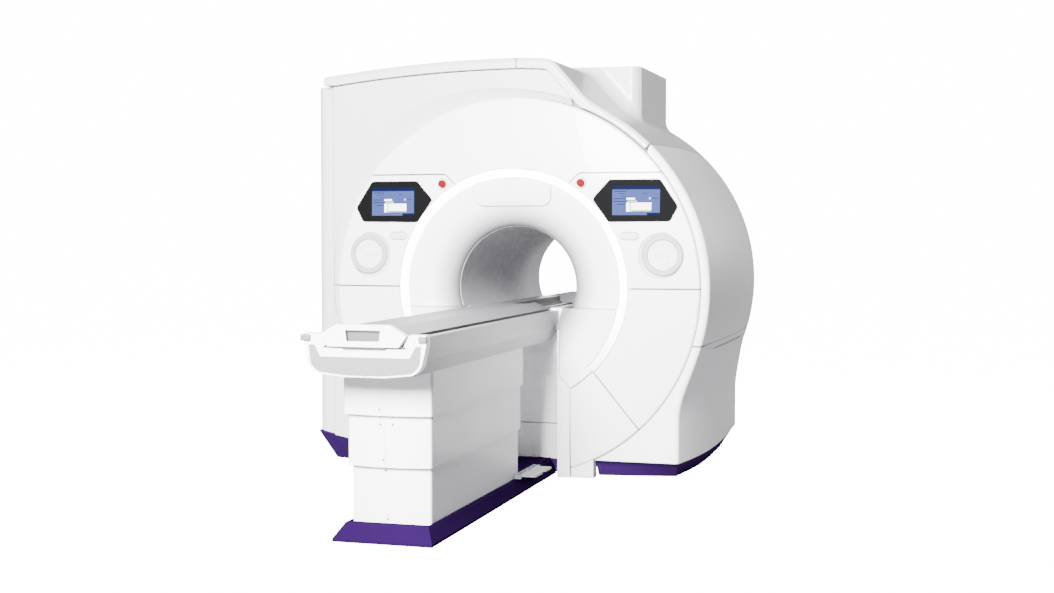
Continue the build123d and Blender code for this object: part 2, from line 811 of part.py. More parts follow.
for name, low, high, z in (("plinth_right", right_floor, right_top, foot_z),
                           ("plinth_left", left_floor, left_top, plinth_z)):
    with BuildPart() as plinth:
        with BuildSketch():
            Polygon(*low, align=None)
        with BuildSketch(Plane.XY.offset(z)):
            Polygon(*high, align=None)
        loft(ruled=True)
        if low is left_floor:
            outer_x = left_foot[0][0]
            prism([(outer_x, far), *left_foot, (0, foot_z), (0, far)], -far, far, Mode.SUBTRACT)
            cut(slab_in_x, 11 - foot_in_x, 226 - bore_half, far, -1, z + 1)
        else:
            cut(foot_in_x - 11, band_r - 250, 136 - bore_half, far, -1, z + 1)
    save(name, plinth.part)

# Frames that carry the covers, with posts to the magnet
posts = (30, 90, 150, 210, 330)
post_r = 25.0
magnet_r = disc_r - 129
for name, y0, inner, face in (("front_frame", frame_y, mouth_r + 13, -magnet_half),
                              ("rear_frame", rear_y - frame_wall, bore_r + 120, magnet_half)):
    y1 = y0 + frame_wall
    with BuildPart() as frame:
        disc(band_r - rim_wall - fit, 0, y0, y1)
        swept(crown_area(skin + fit, y0), y0, y1)
        swept(foot_area(fit, y0), y0, y1)
        block(slab_in_x, -strip_x, y0, y1, plinth_z + skin, slab_top)
        cut(-far, slab_in_x, y0, y1, -far, slab_top + gap)
        disc(inner, 0, -far, far, Mode.SUBTRACT)
        cut(-strip_x - 5, strip_x + 5, -far, 0, -far, iso_z)
        for side in (-1, 1):
            cut(side * (foot_in_x - 16), side * far, y0, y1, -far, foot_z + 4)
            block(side * (strip_x + 12), side * (foot_in_x - 21), y0, y1, 0, 3 * foot_z)
        cut(-far, far, y0, y1, -far, 0)
        near = y1 if face < 0 else y0
        for angle in posts:
            x, z = rim_point(angle, magnet_r - 150)
            pin(x, (near + face) / 2, z, post_r, abs(near - face), "Y")
    save(name, frame.part)

# Rear covers
centre_r = band_r - 250
for name, x0, x1 in (("rear_left_cover", -far, -half), ("rear_right_cover", half, far)):
    rear_skin_y = rear_y + skin
    with BuildPart() as rear:
        swept(crown_area(0, rear_y), rear_y, rear_skin_y)
        swept(side_section(rear_y, band_r, band_r - 122), rear_y, rear_skin_y)
        disc(band_r, 0, rear_y, rear_skin_y)
        block(slab_x, -recess_x, rear_y, rear_skin_y, 0, slab_top)
        block(-foot_in_x, foot_in_x, rear_y, rear_skin_y, skin, bend_z)
        ends = []
        for radius, y in ((band_r - 90, rear_skin_y), (centre_r + 20, rear_centre_y)):
            with BuildSketch(front(y)) as end:
                with Locations((0, iso_z)):
                    Circle(radius)
            ends.append(end.sketch)
        loft(ends, ruled=True)
        disc(centre_r, 0, rear_y, rear_centre_y - skin, Mode.SUBTRACT)
        drill(bore_r + 93)
        clear_left_foot()
        cut(-foot_in_x, foot_in_x, 0, far, -far, skin)
        between(x0, x1)
    save(name, rear.part)

with BuildPart() as rear_flare:
    lip_r = bore_r + 90
    with BuildSketch(Plane.YZ) as lip:
        with BuildLine():
            face = ThreePointArc(
                (bore_half, iso_z + bore_r), (bore_half + 23, iso_z + bore_r + 14),
                (rear_centre_y, iso_z + lip_r),
            )
            rear = ThreePointArc(
                (bore_half, iso_z + bore_r + 10), (bore_half + 16, iso_z + bore_r + 24),
                (rear_centre_y - 8, iso_z + lip_r),
            )
            Line(face @ 0, rear @ 0)
            Line(face @ 1, rear @ 1)
        make_face()
    revolve(lip.sketch, axis=bore_axis)
save("rear_flare_ring", rear_flare.part)

# Magnet: vessel, coils, base, cold head
plate = 12.0
bobbin_r = magnet_in_r + 50
coil_places = ((0.857, 120), (0.471, 80), (0.157, 50))
with BuildPart() as cryostat:
    disc(magnet_r, magnet_in_r, -magnet_half, magnet_half)
    disc(magnet_r - plate, magnet_in_r + plate, plate - magnet_half, magnet_half - plate, Mode.SUBTRACT)
save("magnet_cryostat", cryostat.part)

with BuildPart() as main_coils:
    end = magnet_half - plate - fit
    disc(bobbin_r, magnet_in_r + plate + fit, -end, end)
    for share, wide in coil_places:
        for y in (-share * magnet_half, share * magnet_half):
            disc(bobbin_r + 90, bobbin_r - 10, y - wide / 2, y + wide / 2)
save("main_coils", main_coils.part)

rail_x = magnet_r - 450
rail_y = magnet_half - 140
foot_y = magnet_half - 250
brace_y = foot_y - 150
anchor_x = rail_x + 95
anchor_r = 13.0
with BuildPart() as magnet_base:
    for side in (-1, 1):
        block(side * (rail_x - 50), side * (rail_x + 50), -rail_y, rail_y, 0, 60)
        block(-rail_x, rail_x, side * brace_y - 40, side * brace_y + 40, 0, 40)
        for y in (-foot_y, foot_y):
            block(side * (rail_x - 80), side * (rail_x + 80), y - 60, y + 60, 60, 400)
            block(side * (rail_x - 110), side * (anchor_x + 40), y - 80, y + 80, 0, 25)
            pin(side * anchor_x, y, 10, anchor_r, 100, "Z", Mode.SUBTRACT)
    disc(magnet_r, 0, -far, far, Mode.SUBTRACT)
save("magnet_base", magnet_base.part)

cold_x = 300.0
cold_y = 370.0
flange_z = iso_z + math.sqrt(magnet_r**2 - cold_x**2) + 87
with BuildPart() as cold_head:
    pin(cold_x, cold_y, (flange_z - 190 + hood_z - 75) / 2, 55, hood_z - 75 - flange_z + 190, "Z")
    pin(cold_x, cold_y, flange_z + 140, 90, 20, "Z")
    pin(cold_x, cold_y, flange_z, 90, 24, "Z")
    disc(magnet_r + fit, 0, -far, far, Mode.SUBTRACT)
save("cold_head", cold_head.part)


# Table: base, shrouds, lift stages
def shroud(step, z0, z1, name, screws):
    """One telescoping shroud with its front screws; step 0 is the innermost."""
    def plan(inset):
        wide = lower_x + step * shroud_step - inset
        near = lower_front - step * shroud_front_step + inset
        deep = lower_back + step * shroud_step - inset
        with BuildSketch(Plane.XY.offset(z0)) as outline:
            with BuildLine():
                ThreePointArc((-wide, near), (0, near - shroud_bulge), (wide, near))
                Polyline((wide, near), (wide, deep), (-wide, deep), (-wide, near))
            make_face()
            fillet(outline.vertices(), shroud_edge - inset / 2)
        return outline.sketch

    with BuildPart() as body:
        extrude(plan(0), amount=z1 - z0)
        extrude(plan(shroud_wall), amount=z1 - z0, mode=Mode.SUBTRACT)
        nose = lower_front - step * shroud_front_step - shroud_bulge
        for x, z in screws:
            pin(x, nose + 3, z, 4, 8, "Y")
    save(name, body.part)


middle_screws = [(x, middle_top - drop) for x in (-30, 30) for drop in (13, 49)]
middle_screws += [(-17, middle_bottom + 36)]
shroud(0, base_plate, lower_top, "lower_shroud", [(-17, lower_top - 22), (-5, base_top + 17)])
shroud(1, middle_bottom, middle_top, "middle_shroud", middle_screws)
shroud(2, upper_bottom, tray_bottom, "upper_shroud", [(-25, upper_bottom + 29)])

column_wall = 15.0
columns = (lower_front + 335, lower_back - 330)
stages = (
    ("table_base_frame", 90, base_plate, lower_top - 10),
    ("lift_columns_middle", 75, 200, middle_top - 20),
    ("lift_columns_inner", 60, middle_top - 180, tray_bottom),
)
anchor_places = [
    (x, y) for x in (35 - base_in_x, base_in_x - 35) for y in (lower_front + 85, tray_head - 45)
]
for name, size, z0, z1 in stages:
    inner = size - column_wall + fit
    with BuildPart() as stage:
        if "middle" in name:
            wide = lower_x + shroud_step - shroud_wall - fit
            block(-wide, wide, columns[0] - 90, columns[1] + 90, middle_top - 40, middle_top - 28)
        for y in columns:
            block(-size, size, y - size, y + size, z0, z1)
            cut(-inner, inner, y - inner, y + inner, z0 - 1, z1 + 1)
        if "inner" in name:
            block(-size, size, columns[0], columns[1], tray_bottom - 12, tray_bottom)
        if "base" in name:
            block(-base_in_x, base_in_x, lower_front + 15, tray_head - 5, 0, base_plate)
            for x, y in anchor_places:
                pin(x, y, 0, 9, 60, "Z", Mode.SUBTRACT)
    save(name, stage.part)

base_back = recess_back - 57
with BuildPart() as base_cover:
    foot_wide = lower_x + 48
    foot_near = lower_front - 129
    high_wide = lower_x + 8
    low_outline = flip([(foot_wide, foot_near), (foot_wide - 15, base_back)])
    high_outline = flip([(high_wide, foot_near + 64), (high_wide, base_back)])
    with BuildSketch() as foot:
        Polygon(*low_outline, align=None)
    extrude(amount=base_lip)
    with BuildSketch(Plane.XY.offset(base_lip)):
        Polygon(*low_outline, align=None)
    with BuildSketch(Plane.XY.offset(base_top)):
        Polygon(*high_outline, align=None)
    loft(ruled=True)
    block(-lower_x - 3, lower_x + 3, lower_back + 10, base_back, base_top - 5, base_top + 10)
    nose = lower_front - shroud_bulge - 2
    cut(-lower_x - fit, lower_x + fit, nose, lower_back + fit, -1, far)
    cut(-base_in_x - fit, base_in_x + fit, lower_front + 5, tray_head - 5 + fit, -1, base_plate + fit)
save("table_base_cover", base_cover.part)

# Foot pedals
pedal_x = lower_x + 30
pedal_y = lower_back + 95
pedal_z = base_top + 12
pedal_long = 145.0
pedal_apart = 30.0
pedal_reach = 88.0
axle_r = 5.0
lug_y = pedal_apart / 2 + pedal_long + pedal_apart / 2
with BuildPart() as bracket:
    block(pedal_x - 26, pedal_x - 14, pedal_y - lug_y - 5, pedal_y + lug_y + 5, base_top, base_top + 24)
    for y in (pedal_y - lug_y, pedal_y, pedal_y + lug_y):
        block(pedal_x - 16, pedal_x + 11, y - 5, y + 5, base_top + 1, base_top + 23)
    pin(pedal_x, pedal_y, pedal_z, axle_r, 2 * lug_y, "Y")
save("pedal_bracket", bracket.part)

for name, side in (("pedal_up", -1), ("pedal_down", 1)):
    y = pedal_y + side * (pedal_apart + pedal_long) / 2
    with BuildPart() as pedal:
        pin(pedal_x, y, pedal_z, 2 * axle_r, pedal_long - 10, "Y")
        y0, y1 = y - pedal_long / 2, y + pedal_long / 2
        block(pedal_x, pedal_x + pedal_reach, y0, y1, pedal_z - 2, pedal_z + 8)
        fillet(pedal.edges().filter_by(Axis.Z).sort_by(Axis.X)[-2:], 25)
        pin(pedal_x, y, pedal_z, axle_r + fit, 2 * lug_y, "Y", Mode.SUBTRACT)
    save(name, pedal.part)

# Table top: tray, foot end bumper with its insert
tray_edge = [(tray_x, tray_top), (tray_x, tray_side_z), (tray_low_x, tray_bottom)]
with BuildPart() as tray:
    prism(flip(tray_edge), tray_foot, tray_head)
    fillet(tray.edges().filter_by(Axis.Y).sort_by(Axis.Z)[2:4], 12)
    with BuildSketch(Plane.YZ.offset(-tray_x)) as slant:
        Polygon((tray_head + 1, tray_side_z), (tray_head - 60, tray_bottom),
                (tray_head + 1, tray_bottom - 1), align=None)
    extrude(slant.sketch, amount=2 * tray_x, mode=Mode.SUBTRACT)
    prism(flip([(channel_x + 2, tray_top + 20), (channel_x, tray_top - 2), (channel_x - 34, channel_z)]),
          -far, 0, Mode.SUBTRACT)
    runner(tray_foot, tray_head)
    roller_pocket(roller_at["tray_drive_roller"])
save("table_tray", tray.part)

bumper_back = tray_foot + 20
bumper_y = tray_foot - 30
bumper_top = tray_top + 15
insert_top = tray_top - 35
insert_deep = 6.0
bumper_low = [
    (tray_x + 12, tray_side_z - 28), (tray_x - 22, tray_bottom + 5), (0.38 * tray_x, tray_bottom - 9),
]
bumper_edge = [(tray_x + 34, bumper_top), (tray_x + 34, insert_top), *bumper_low]
insert_edge = [(tray_x + 12, insert_top), *[(x - 9, z + 8) for x, z in bumper_low]]


def bumper_area(y):
    """Front outline of the foot end bumper, open at the cradle recess."""
    lip = flip([(channel_x + 2, bumper_top), (channel_x - 29, channel_z + 3)])
    with BuildSketch(front(y)) as area:
        with BuildLine():
            low = FilletPolyline(*flip(bumper_edge), radius=(20, 60, 60, 200, 200, 60, 60, 20))
            Polyline(low @ 1, *reversed(lip), low @ 0)
        make_face()
    return area.sketch


def insert_area(clear, y):
    """Grey insert of the bumper, below and beside the recess lining."""
    rim = flip([(channel_x + 31, insert_top), (channel_x + 3, channel_z - 37)])
    with BuildSketch(front(y)) as area:
        with BuildLine():
            low = FilletPolyline(*flip(insert_edge), radius=(50, 50, 200, 200, 50, 50))
            Polyline(low @ 1, *reversed(rim), low @ 0)
        make_face()
        if clear:
            offset(amount=-clear, mode=Mode.REPLACE)
    return area.sketch


with BuildPart() as bumper:
    swept(bumper_area(bumper_y), bumper_y, bumper_back)
    swept(insert_area(0, -far), -far, bumper_y + insert_deep, Mode.SUBTRACT)
    seat = [(x + fit, z) for x, z in tray_edge]
    seat[0], seat[2] = (seat[0][0], tray_top + fit), (seat[2][0], tray_bottom - fit)
    prism(flip(seat), tray_foot - fit, 0, Mode.SUBTRACT)
    cut(-2.5, 2.5, bumper_y - 1, bumper_y + insert_deep + 2, tray_bottom - 15, tray_bottom + 1)
save("foot_bumper", bumper.part)

with BuildPart() as insert:
    swept(insert_area(fit, bumper_y - 1), bumper_y - 1, bumper_y + insert_deep)
save("bumper_insert", insert.part)

# Cradle: body with its dished top, end cap with the pull handle
cradle_side = [(cradle_wide_x, cradle_wide_z), (cradle_low_x, cradle_bottom)]
dish_deep = 8.0
with BuildPart() as cradle:
    prism(flip([(cradle_top_x, cradle_top), *cradle_side]), cradle_foot, cradle_head)
    with BuildSketch(front(cradle_foot)) as dish:
        with BuildLine():
            bow = FilletPolyline(
                (4 - cradle_top_x, cradle_top), (-60, cradle_top - dish_deep), (60, cradle_top - dish_deep),
                (cradle_top_x - 4, cradle_top), radius=80,
            )
            Line(bow @ 1, bow @ 0)
        make_face()
    swept(dish.sketch, cradle_foot, cradle_head, Mode.SUBTRACT)
save("cradle", cradle.part)

handle_x = 81.0
handle_z = cradle_bottom + 25
with BuildPart() as cap:
    prism(flip([(cradle_top_x + 13, cradle_top + 12), *cradle_side]), cap_y, cradle_foot)
    prism(flip([(handle_x, handle_z + 48), (handle_x - 6, handle_z)]), cap_y - 10, cap_y + 22, Mode.SUBTRACT)
    cut(-handle_x, handle_x, cap_y - 10, cap_y + 4, cradle_top + 7, cradle_top + 25)
save("cradle_end_cap", cap.part)
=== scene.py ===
# %% [markdown]
# # A wide bore MRI scanner
# The solids of the scanner come packed in one frame, in metres, with the origin
# on the floor under the middle of the magnet. They could be modelled once more
# in Blender, but then two models would drift apart. So we load the imported ones
# and dress them.

# %% Load the imported scanner
import math

import bpy
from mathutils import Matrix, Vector


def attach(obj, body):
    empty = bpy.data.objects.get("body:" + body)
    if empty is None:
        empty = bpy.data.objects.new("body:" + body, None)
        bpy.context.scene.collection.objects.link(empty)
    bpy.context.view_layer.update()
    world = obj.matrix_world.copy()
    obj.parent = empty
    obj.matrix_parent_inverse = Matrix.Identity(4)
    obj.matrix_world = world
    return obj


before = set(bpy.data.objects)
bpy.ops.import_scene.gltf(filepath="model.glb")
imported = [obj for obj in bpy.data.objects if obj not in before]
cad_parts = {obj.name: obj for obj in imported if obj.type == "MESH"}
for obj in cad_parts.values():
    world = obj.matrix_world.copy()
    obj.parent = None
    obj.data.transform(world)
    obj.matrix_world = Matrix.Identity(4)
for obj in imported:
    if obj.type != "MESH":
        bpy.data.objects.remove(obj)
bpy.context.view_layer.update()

# %% [markdown]
# ## Camera
# A catalogue picture of a machine this size is taken from some nine metres with
# a longer lens, so that the bore stays round. The camera could follow a target
# on the bore, but a fixed place and turn give the same view on each run. It
# stands right of the table at chest height and looks slightly down.

# %% Place the camera
PHOTO_WIDTH = 1054
FOCAL_PIXELS = 1493.75
SHIFT_PIXELS = -11.1
camera_data = bpy.data.cameras.new("catalogue_camera")
camera_data.sensor_width = 36.0
camera_data.lens = camera_data.sensor_width * FOCAL_PIXELS / PHOTO_WIDTH
camera_data.shift_y = SHIFT_PIXELS / PHOTO_WIDTH
camera_data.clip_end = 100.0
camera = bpy.data.objects.new("catalogue_camera", camera_data)
camera.location = (2.5155, -9.0662, 1.42)
camera.rotation_euler = (math.radians(87.738), 0.0, math.radians(16.632))
bpy.context.collection.objects.link(camera)
bpy.context.scene.camera = camera
print("camera lens", round(camera_data.lens, 2), "mm")

# %% [markdown]
# ## Floor and studio light
# White machines are photographed in a white room. Its walls and ceiling could be
# modelled, but a pale sky fills the shade just as well and never stands in the
# way of a turned view. One strong soft lamp stands straight before the bore, to
# the left of the camera, so faces that look to the right fall to a soft grey.
# Three weaker lamps lift the top, the right side and the back. The floor and
# the sky are burnt out for the camera alone: they look brighter than the light
# that they give.

# %% Lay the floor
bpy.ops.object.select_all(action="DESELECT")
bpy.ops.mesh.primitive_plane_add(size=60.0, location=(0, 0, 0))
floor = bpy.context.active_object
floor.name = "studio_floor"
bpy.ops.object.transform_apply(location=True, rotation=True, scale=True)
print("floor", floor.name)


# %% Paint the sky
def node(tree, kind, **values):
    """One shader node with its settings and plain input values."""
    made = tree.nodes.new(kind)
    for key, value in values.items():
        if key in made.inputs:
            made.inputs[key].default_value = value
        else:
            setattr(made, key, value)
    return made


def ramp(tree, value, start, end, first=0.0, last=1.0):
    """Socket that runs from first to last while a value runs from start to end."""
    limits = {"From Min": start, "From Max": end, "To Min": first, "To Max": last}
    made = node(tree, "ShaderNodeMapRange", **limits)
    tree.links.new(value, made.inputs["Value"])
    return made.outputs["Result"]


FILL_LIGHT = 0.22
WALL_WHITE = 16.0
PURE_WHITE = (1.0, 1.0, 1.0, 1.0)
world = bpy.data.worlds.new("white_room")
world.use_nodes = True
sky = world.node_tree
background = sky.nodes["Background"]
path = node(sky, "ShaderNodeLightPath")
level = ramp(sky, path.outputs["Is Camera Ray"], 0.0, 1.0, FILL_LIGHT, WALL_WHITE)
background.inputs["Color"].default_value = PURE_WHITE
sky.links.new(level, background.inputs["Strength"])
bpy.context.scene.world = world
print("sky", world.name)


# %% Hang the lamps
def soft_lamp(name, place, aim, size, power):
    """Square soft lamp turned towards a point; size in metres, power in watts."""
    data = bpy.data.lights.new(name, "AREA")
    data.shape = "SQUARE"
    data.size = size
    data.energy = power
    lamp = bpy.data.objects.new(name, data)
    lamp.location = place
    lamp.rotation_euler = (Vector(aim) - Vector(place)).to_track_quat("-Z", "Y").to_euler()
    bpy.context.collection.objects.link(lamp)
    lamp.visible_camera = False


soft_lamp("front_lamp", (0.0, -9.0, 3.8), (0, -1.0, 1.2), 2.4, 5600)
soft_lamp("top_lamp", (0.5, -2.0, 7.5), (0, -0.5, 1.0), 5.0, 300)
soft_lamp("side_lamp", (4.0, 3.5, 2.5), (1.1, 0.0, 1.2), 2.0, 170)
soft_lamp("back_lamp", (-3.0, 6.5, 5.0), (0, 0, 1.1), 3.0, 900)

# %% [markdown]
# ## Moulded skin
# The covers are mouldings with a white gel coat. Such a skin is never one flat
# colour: it varies a little in shade and gloss over a hand's breadth, and has a
# fine orange peel. An image could hold that, but each cover would have to be
# unwrapped for it. Two noise textures on Object coordinates need no unwrapping.
# Every finish uses them, so they are built once, as a group that puts out a
# colour, a roughness and a height.


# %% Build the moulded skin group
def group(name, inputs, outputs):
    """Empty shader group with named sockets and its two end nodes."""
    made = bpy.data.node_groups.new(name, "ShaderNodeTree")
    for label, kind, value in inputs:
        socket = made.interface.new_socket(name=label, in_out="INPUT", socket_type=kind)
        socket.default_value = value
    for label, kind in outputs:
        made.interface.new_socket(name=label, in_out="OUTPUT", socket_type=kind)
    return made, made.nodes.new("NodeGroupInput"), made.nodes.new("NodeGroupOutput")


def maths(tree, operation, *values):
    """Output of a Math node; each value is a socket or a plain number."""
    made = node(tree, "ShaderNodeMath", operation=operation)
    for slot, value in zip(made.inputs, values):
        if isinstance(value, bpy.types.NodeSocket):
            tree.links.new(value, slot)
        else:
            slot.default_value = value
    return made.outputs[0]


FLOAT, COLOR, VECTOR = "NodeSocketFloat", "NodeSocketColor", "NodeSocketVector"
skin, skin_in, skin_out = group(
    "moulded_skin",
    [("Light Shade", COLOR, (0.9, 0.9, 0.9, 1)), ("Dark Shade", COLOR, (0.8, 0.8, 0.8, 1)),
     ("Patch Scale", FLOAT, 2.0), ("Peel Scale", FLOAT, 400.0),
     ("Roughness", FLOAT, 0.4), ("Roughness Spread", FLOAT, 0.06)],
    [("Color", COLOR), ("Roughness", FLOAT), ("Height", FLOAT)],
)
place = node(skin, "ShaderNodeTexCoord")
patches = node(skin, "ShaderNodeTexNoise", Detail=4.0, Roughness=0.55)
peel = node(skin, "ShaderNodeTexNoise", Detail=2.0)
shade = node(skin, "ShaderNodeMix", data_type="RGBA")
wire = skin.links.new
for noise, scale in ((patches, "Patch Scale"), (peel, "Peel Scale")):
    wire(place.outputs["Object"], noise.inputs["Vector"])
    wire(skin_in.outputs[scale], noise.inputs["Scale"])
wire(patches.outputs["Fac"], shade.inputs["Factor"])
wire(skin_in.outputs["Light Shade"], shade.inputs["A"])
wire(skin_in.outputs["Dark Shade"], shade.inputs["B"])
swing = maths(skin, "SUBTRACT", patches.outputs["Fac"], 0.5)
gloss = maths(skin, "MULTIPLY_ADD", swing,
              skin_in.outputs["Roughness Spread"], skin_in.outputs["Roughness"])
wire(shade.outputs["Result"], skin_out.inputs["Color"])
wire(gloss, skin_out.inputs["Roughness"])
wire(peel.outputs["Fac"], skin_out.inputs["Height"])
print("group", skin.name, "with", len(skin.nodes), "nodes")

# %% [markdown]
# ## Painted shade at edges
# Where two covers meet, the joint shows as a thin dark line, the shade that
# falls into the gap. It could be cut as a groove, but the imported meshes stay
# as they are, so the shade is painted. The shader looks for the sharp edges: a
# Bevel node gives the normal that a rounded edge would have, and where it turns
# away from the true one, the mask rises to 1. Every sharp edge of a finish that
# uses it gets this painted shade, not only the joints.

# %% Build the painted edge shade group
AGREES, DIFFERS = 0.99, 0.965
edge_shade, edge_in, edge_out = group("edge_shade", [("Round", FLOAT, 0.004)], [("Mask", FLOAT)])
rounded = node(edge_shade, "ShaderNodeBevel", samples=6)
true = node(edge_shade, "ShaderNodeNewGeometry")
agree = node(edge_shade, "ShaderNodeVectorMath", operation="DOT_PRODUCT")
wire = edge_shade.links.new
wire(edge_in.outputs["Round"], rounded.inputs["Radius"])
wire(rounded.outputs["Normal"], agree.inputs[0])
wire(true.outputs["Normal"], agree.inputs[1])
wire(ramp(edge_shade, agree.outputs["Value"], AGREES, DIFFERS), edge_out.inputs["Mask"])
print("group", edge_shade.name, "with", len(edge_shade.nodes), "nodes")

# %% [markdown]
# ## Painted shade of a joint
# The front of each shroud has an upright joint near its middle, where the solid
# has no edge. The shade in that joint is painted as a thin dark line. A thin
# strip could be laid there, but it would stand proud of the skin, and a line in
# the colour can't. The group measures how far a point lies along a normal, and
# its mask is 1 within half a width of an offset.

# %% Build the painted joint shade group
joint_shade_line, line_in, line_out = group(
    "joint_shade_line",
    [("Normal", VECTOR, (1, 0, 0)), ("Offset", FLOAT, 0.0), ("Half Width", FLOAT, 0.001)],
    [("Mask", FLOAT)],
)
where = node(joint_shade_line, "ShaderNodeTexCoord")
along = node(joint_shade_line, "ShaderNodeVectorMath", operation="DOT_PRODUCT")
wire = joint_shade_line.links.new
wire(where.outputs["Object"], along.inputs[0])
wire(line_in.outputs["Normal"], along.inputs[1])
near = maths(joint_shade_line, "COMPARE", along.outputs["Value"],
             line_in.outputs["Offset"], line_in.outputs["Half Width"])
wire(near, line_out.inputs["Mask"])
print("group", joint_shade_line.name, "with", len(joint_shade_line.nodes), "nodes")

# %% [markdown]
# ## Finishes
# The machine has gel coat, laminate, rubber, paint, steel, resin and copper.
# Each could be a material of its own from the first node on, but they differ in
# a few numbers only. So one function wires the groups into a Principled shader,
# and each finish is one line. The lamp in front is strong and the picture lifts
# the middle tones, so the greys are mixed darker than they look in the render.


# %% Mix and darken colours
def rgb(hexa):
    """Linear colour from a hex code."""
    parts = [int(hexa[i:i + 2], 16) / 255 for i in (0, 2, 4)]
    linear = [p / 12.92 if p <= 0.04045 else ((p + 0.055) / 1.055) ** 2.4 for p in parts]
    return (*linear, 1.0)


def tinted(tree, colour, shade, share):
    """Colour that goes over to a shade where a share is 1."""
    mix = node(tree, "ShaderNodeMix", data_type="RGBA")
    mix.inputs["B"].default_value = shade
    tree.links.new(share, mix.inputs["Factor"])
    tree.links.new(colour, mix.inputs["A"])
    return mix.outputs["Result"]


# Grey of the painted shade in joints and along sharp edges.
GAP_SHADE_GREY = rgb("1c1c1e")


def darken(tree, colour, mask, strength):
    """Colour that goes over to the grey of painted shade, by a strength, where a mask is 1."""
    return tinted(tree, colour, GAP_SHADE_GREY, maths(tree, "MULTIPLY", mask, strength))


def edge_shade_mask(tree, radius):
    """Mask of the sharp edges, seen within a radius."""
    return node(tree, "ShaderNodeGroup", node_tree=edge_shade, Round=radius).outputs["Mask"]


print("joint grey", [round(part, 4) for part in GAP_SHADE_GREY])

# %% Make a finish from the groups
FLANK_FROM, FLANK_TO = 0.5, 0.95
LINE_DARK = 0.4
PEEL_STRENGTH = 0.4


def blank(name):
    """New material, with its tree and its Principled shader."""
    made = bpy.data.materials.new(name)
    made.use_nodes = True
    return made, made.node_tree, made.node_tree.nodes["Principled BSDF"]


def finish(name, light, dark, rough, patch=2.0, peel=400.0, spread=0.06, bump=0.02,
           metal=0.0, coat=0.0, shine=0.5, edge=0.0, edge_dark=1.0, line=None, sides=None):
    """Material whose colour, gloss and fine relief come from the moulded skin group.

    light and dark are its two shades, patch and peel the scales of the noises,
    spread is how far the roughness swings and bump the peel's height in mm. edge
    is the radius of the edge lines of painted shade and edge_dark their strength,
    line the normal and offset of a joint whose shade is painted as a line, and
    sides a darker colour painted on faces that look left or right, as painted shade.
    """
    made, tree, shader = blank(name)
    shader.inputs["Metallic"].default_value = metal
    shader.inputs["Coat Weight"].default_value = coat
    shader.inputs["Specular IOR Level"].default_value = shine
    settings = {"Light Shade": rgb(light), "Dark Shade": rgb(dark), "Patch Scale": patch,
                "Peel Scale": peel, "Roughness": rough, "Roughness Spread": spread}
    body = node(tree, "ShaderNodeGroup", node_tree=skin, **settings)
    colour = body.outputs["Color"]
    # Faces that look left or right go over to a darker colour: painted shade.
    if sides:
        facing = node(tree, "ShaderNodeNewGeometry")
        turn = node(tree, "ShaderNodeSeparateXYZ")
        tree.links.new(facing.outputs["Normal"], turn.inputs[0])
        flank = maths(tree, "ABSOLUTE", turn.outputs["X"])
        colour = tinted(tree, colour, rgb(sides), ramp(tree, flank, FLANK_FROM, FLANK_TO))
    # Sharp edges get painted shade.
    if edge:
        colour = darken(tree, colour, edge_shade_mask(tree, edge), edge_dark)
    # A joint that has no edge gets a painted shade line.
    if line:
        mark = node(tree, "ShaderNodeGroup", node_tree=joint_shade_line, Normal=line[0], Offset=line[1])
        colour = darken(tree, colour, mark.outputs["Mask"], LINE_DARK)
    relief = node(tree, "ShaderNodeBump", Strength=PEEL_STRENGTH, Distance=bump / 1000)
    tree.links.new(colour, shader.inputs["Base Color"])
    tree.links.new(body.outputs["Roughness"], shader.inputs["Roughness"])
    tree.links.new(body.outputs["Height"], relief.inputs["Height"])
    tree.links.new(relief.outputs["Normal"], shader.inputs["Normal"])
    return made


WHITE = ("f3f3f5", "eeeef1")
gel_coat = finish("white_gel_coat", *WHITE, 0.36, coat=0.15)
print("first finish", gel_coat.name)

# %% Finishes of the covers and the table
TABLE_WHITE = ("eeeef0", "e8e8ea")
seam_coat = finish("cover_gel_coat", *WHITE, 0.36, coat=0.15, edge=0.008)
# The top and left covers are the white gel coat, mixed greyer as painted shade.
shell_coat_painted_shade = finish("shell_gel_coat_painted_shade", "cdcdd0", "c6c6ca", 0.38, coat=0.15, edge=0.006)
kick_coat = finish("kick_gel_coat", *WHITE, 0.36, coat=0.15, edge=0.009)
# The plinths are the base's purple, mixed lighter as painted light against the shade under the
# overhang.
plinth_purple = finish("plinth_purple", "3c1f5c", "361b54", 0.6, peel=600, shine=0.0)
purple = finish("base_purple", "1c0a30", "180829", 0.6, peel=600, shine=0.0)
table_coat = finish("table_gel_coat", *TABLE_WHITE, 0.42, coat=0.08, edge=0.003, edge_dark=0.5)
# The shroud's flanks get painted shade, and its front a painted shade line at a joint.
shroud_coat = finish("shroud_gel_coat", *TABLE_WHITE, 0.42, coat=0.08, edge=0.0025,
                     edge_dark=0.6, line=((1, 0, 0), -0.010), sides="a2a2a5")
cradle_coat = finish("cradle_laminate", "68686b", "626266", 0.44, patch=3.0)
# The tray is white gel coat too; its grey is painted shade.
tray_coat_painted_shade = finish("tray_gel_coat_painted_shade", "7a7a7d", "737377", 0.42)
liner_coat = finish("bore_liner_laminate", "c6c4c8", "bcbabf", 0.5, patch=3.0)
print("finishes", len(bpy.data.materials))

